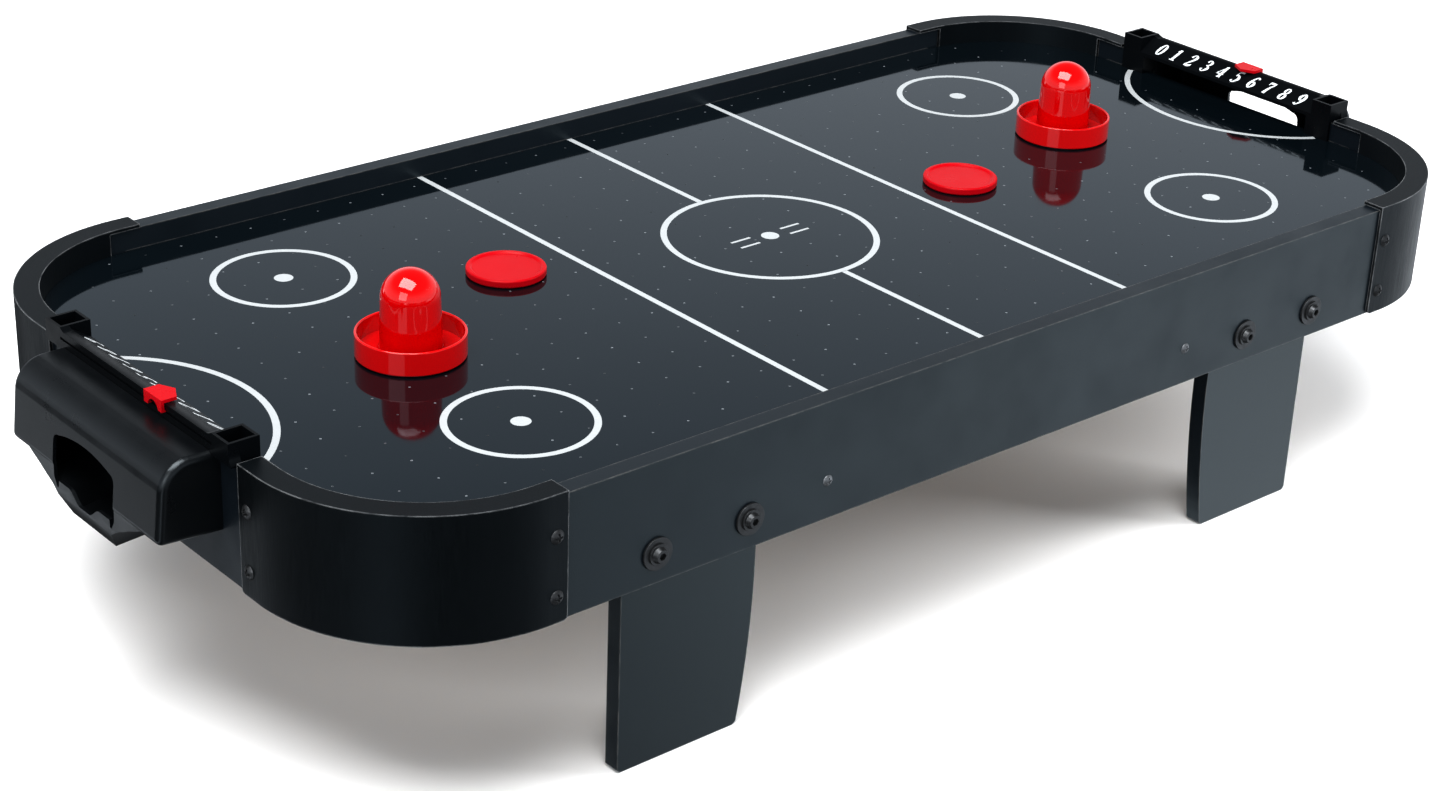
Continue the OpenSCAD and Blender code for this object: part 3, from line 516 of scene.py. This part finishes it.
def smooth_stroke(points, steps=8):
    """Catmull-Rom samples through (across, up, width) points; two points stay a line."""
    if len(points) == 2:
        return points
    ends = [points[0]] + points + [points[-1]]
    out = []
    for a, b, c, d in zip(ends, ends[1:], ends[2:], ends[3:]):
        for i in range(steps):
            t = i / steps
            out.append(tuple(
                0.5 * (2 * q + (r - p) * t + (2 * p - 5 * q + 4 * r - s) * t * t
                       + (3 * q - p - 3 * r + s) * t ** 3)
                for p, q, r, s in zip(a, b, c, d)))
    return out + [points[-1]]


def stroke_sides(points):
    """The two edges of a stroke, square to its run."""
    left, right = [], []
    for i, (x, y, width) in enumerate(points):
        before, after = points[max(0, i - 1)], points[min(len(points) - 1, i + 1)]
        dx, dy = after[0] - before[0], after[1] - before[1]
        size = math.hypot(dx, dy) or 1
        nx, ny = -dy / size * width * BOLD / 2, dx / size * width * BOLD / 2
        left.append((x + nx, y + ny))
        right.append((x - nx, y - ny))
    return left, right


def upside_down(points):
    return [(2 * FIGURE_MIDDLE - x, 1 - y) for x, y in points]


def figure_parts(figure):
    """(left edge, right edge, closed) of each part of a figure, in the unit box."""
    if figure == "9":
        for left, right, closed in figure_parts("6"):
            yield upside_down(left), upside_down(right), closed
        return
    for x, y, rx, ry, thick in RINGS.get(figure, []):
        angles = [2 * math.pi * i / 40 for i in range(40)]
        grow = [BOLD * (THIN + (thick - THIN) * abs(math.cos(a))) / 2 for a in angles]
        yield ([(x + (rx + g) * math.cos(a), y + (ry + g) * math.sin(a))
                for a, g in zip(angles, grow)],
               [(x + (rx - g) * math.cos(a), y + (ry - g) * math.sin(a))
                for a, g in zip(angles, grow)], True)
    for stroke in STROKES.get(figure, []):
        left, right = stroke_sides(smooth_stroke(stroke))
        yield left, right, False


def printed(points, across):
    """Points of the unit box at their real size, slanted, with the middle moved across."""
    return [((x - FIGURE_MIDDLE + SLANT * (y - 0.5)) * FIGURE_H + across, (y - 0.5) * FIGURE_H)
            for x, y in points]


def goal_figures(side, material):
    """The figures 0 to 9 on the sloping face of a scoring beam."""
    bm = bmesh.new()
    for index in range(10):
        across = (index - 4.5) * FIGURE_PITCH
        for part, (left, right, closed) in enumerate(figure_parts(str(index))):
            lift = (0.05 + 0.015 * part) * MM
            plate(bm, printed(left, across), printed(right, across), -0.05 * MM, lift, closed)
    run = POST_OUT - LEDGE - POST_IN
    slope = math.atan2(BEAM_DROP, run)
    middle = Vector((POST_IN + run / 2, 0, GOAL_TOP - LEDGE_DROP - BEAM_DROP / 2))
    up = Vector((math.cos(slope), 0, math.sin(slope)))
    across_axis = Vector((0, -1, 0))
    face = Matrix((across_axis, up, across_axis.cross(up))).transposed().to_4x4()
    turn = Matrix.Rotation(math.pi if side == "left" else 0, 4, "Z")
    bm.transform(turn @ Matrix.Translation(middle) @ face)
    add_mesh("goal_figures_" + side, bm, material)


# ------------------------------------------------------------------ CAD nodes
def soften(node, width, segments=3, angle=35):
    """Rounds a CAD node's sharp edges with modifiers; its own mesh stays as it is."""
    weld = node.modifiers.new("weld", "WELD")
    weld.merge_threshold = 0.00001
    flat = node.modifiers.new("flat", "DECIMATE")
    flat.decimate_type = "DISSOLVE"
    flat.angle_limit = math.radians(0.4)
    bevel = node.modifiers.new("bevel", "BEVEL")
    bevel.width = width
    bevel.segments = segments
    bevel.limit_method = "ANGLE"
    bevel.angle_limit = math.radians(angle)
    bevel.use_clamp_overlap = True
    normals = node.modifiers.new("normals", "WEIGHTED_NORMAL")
    normals.keep_sharp = False


SLOT_MATERIALS = {
    "board_foil": board_foil, "corner_plastic": corner_plastic, "goal_plastic": goal_plastic,
    "play_laminate": play_laminate, "raw_board": raw_board, "black_steel": black_steel,
    "red_gloss": red_gloss, "felt": felt, "winding": winding, "lead_pvc": lead_pvc,
    "inlet_plastic": fan_plastic, "fan_plastic": fan_plastic,
}

# Nodes whose finish differs from the rest of their material slot, by the start of their names;
# the legs' copy of the foil is also darker, as painted shade
OTHER_LOOKS = {
    "brace_screws": "worn_steel", "puck": "red_satin", "score_slider": "red_satin",
    "end_board": "end_foil", "leg_front": "leg_foil_shaded", "leg_back": "leg_foil_shaded",
    "goal_frame": "frame_plastic",
}

# Rounding of sharp edges in millimetres, by the start of the nodes' names
EDGES = {
    "side_board": 0.7, "end_board": 0.7, "leg_front": 0.8, "leg_back": 0.8, "goal_box": 0.8,
    "goal_frame": 0.35, "score_slider": 0.3, "corner_screws": 0.25, "brace_screws": 0.2,
    "leg_bolts": 0.5, "leg_washers": 0.3, "corner_front": 0.6, "corner_back": 0.6,
    "switch_plate": 0.5, "power_rocker": 0.4,
}


def dress_nodes():
    made = {slot: build() for slot, build in SLOT_MATERIALS.items()}
    made["red_satin"] = red_satin()
    made["end_foil"] = board_foil("end_foil", gloss=0.16)
    made["worn_steel"] = black_steel("worn_steel", shine=4.0)
    # A darker copy of the foil for the legs: its colour is painted shade, its gloss and satin are
    # its own finish.
    made["leg_foil_shaded"] = board_foil("leg_foil_shaded", gloss=0.48, paleness=0.6, satin=0.14)
    made["frame_plastic"] = goal_plastic("frame_plastic", gloss=0.10)
    for entry in frame["record"]["subparts"]:
        name = entry["node"]
        looks = [look for start, look in OTHER_LOOKS.items() if name.startswith(start)]
        mesh = nodes[name].data
        mesh.materials.clear()
        mesh.materials.append(made[looks[0] if looks else entry["material_slot"]])
    for name, node in nodes.items():
        for start, width in EDGES.items():
            if name.startswith(start):
                soften(node, width * MM)


# ------------------------------------------------------------------ light and floor
# Brightness of the studio walls and ceiling against the height of the direction
SKY = ((0.0, 0.85), (0.22, 0.72), (0.30, 0.68), (0.36, 0.58), (0.44, 0.42), (0.53, 0.25),
       (0.62, 0.15), (1.0, 0.10))

# Brightness of the room below the horizon, from the left (0) to the right (1)
ROOM = ((0.0, 0.06), (0.155, 0.06), (0.19, 2.10), (0.235, 0.60), (0.30, 0.03), (0.50, 0.05),
        (0.61, 0.35), (0.70, 0.12), (0.82, 0.08), (0.866, 0.68), (0.92, 1.38), (0.945, 1.30),
        (1.0, 0.98))

# Colour of the studio's light: a little cool
STUDIO_TINT = (0.93, 0.98, 1.04)
FLOOR_SIZE = 12
FLOOR_Z = -0.2 * MM


def make_stage():
    bm = bmesh.new()
    bmesh.ops.create_grid(bm, x_segments=8, y_segments=8, size=FLOOR_SIZE)
    mesh = bpy.data.meshes.new("floor")
    bm.to_mesh(mesh)
    bm.free()
    mesh.materials.append(floor_paper())
    floor = bpy.data.objects.new("floor", mesh)
    floor.location = (0, 0, FLOOR_Z)
    bpy.context.scene.collection.objects.link(floor)

    # The glossy faces mirror the dim room below the horizon in place of the bright floor
    floor.visible_glossy = False
    bpy.context.scene.world = studio_world()


def studio_world():
    """A sky that dims upwards, over a room that is bright to the right and dark to the left."""
    world = bpy.data.worlds.new("studio")
    world.use_nodes = True
    tree = world.node_tree
    split = tree.nodes.new("ShaderNodeSeparateXYZ")
    tree.links.new(tree.nodes.new("ShaderNodeTexCoord").outputs["Generated"], split.inputs[0])

    def shade(source, levels):
        made = tree.nodes.new("ShaderNodeValToRGB")
        tree.links.new(source, made.inputs["Fac"])
        band = made.color_ramp
        for place, level in levels[1:-1]:
            band.elements.new(place)
        for element, (place, level) in zip(band.elements, levels):
            element.position = place
            element.color = (*scaled(STUDIO_TINT, level), 1)
        return made.outputs["Color"]

    def step(operation, a, b, c=0.0):
        made = tree.nodes.new("ShaderNodeMath")
        made.operation = operation
        for socket, value in zip(made.inputs, (a, b, c)):
            if isinstance(value, float):
                socket.default_value = value
            else:
                tree.links.new(value, socket)
        return made.outputs[0]

    side = step("MULTIPLY_ADD", split.outputs["Y"], -0.3, split.outputs["X"])
    room = shade(step("MULTIPLY_ADD", side, 0.5, 0.5), ROOM)
    sky = shade(split.outputs["Z"], SKY)
    mix = tree.nodes.new("ShaderNodeMix")
    mix.data_type = "RGBA"
    tree.links.new(step("GREATER_THAN", split.outputs["Z"], 0.0), mix.inputs["Factor"])
    tree.links.new(room, mix.inputs["A"])
    tree.links.new(sky, mix.inputs["B"])
    tree.links.new(mix.outputs["Result"], tree.nodes["Background"].inputs["Color"])
    tree.nodes["Background"].inputs["Strength"].default_value = 1.0
    return world


def softbox(name, direction, distance, size, level):
    """A soft lamp seen from the table in a direction; level is the brightness of its face."""
    data = bpy.data.lights.new(name, "AREA")
    data.shape = "RECTANGLE"
    data.size, data.size_y = size
    data.energy = level * math.pi * size[0] * size[1]
    lamp = bpy.data.objects.new(name, data)
    way = Vector(direction).normalized()
    lamp.matrix_world = (Matrix.Translation(way * distance + Vector((0, 0, PLAY_Z)))
                         @ (-way).to_track_quat("-Z", "Y").to_matrix().to_4x4())
    bpy.context.scene.collection.objects.link(lamp)
    return lamp


def make_lights():
    softbox("top", (-0.334, -0.130, 0.930), distance=3.6, size=(3.4, 2.4), level=8.5)
    softbox("key", (-0.851, -0.380, 0.364), distance=3.6, size=(1.8, 1.7), level=3.0)
    fill = softbox("side", (0.706, -0.600, 0.382), distance=1.9, size=(0.9, 0.9), level=8.0)
    fill.visible_glossy = False


def set_view():
    view = bpy.context.scene.view_settings
    view.view_transform = "Standard"
    view.exposure = 0.5
    view.gamma = 0.85


# ------------------------------------------------------------------ build
make_camera()
dress_nodes()
white = print_white()
figure_white = print_white("figure_white", brightness=1.7)
field_lines(white)
centre_mark(white)
hole_rims(hole_rim())
for side in ("left", "right"):
    goal_figures(side, figure_white)
make_stage()
make_lights()
set_view()
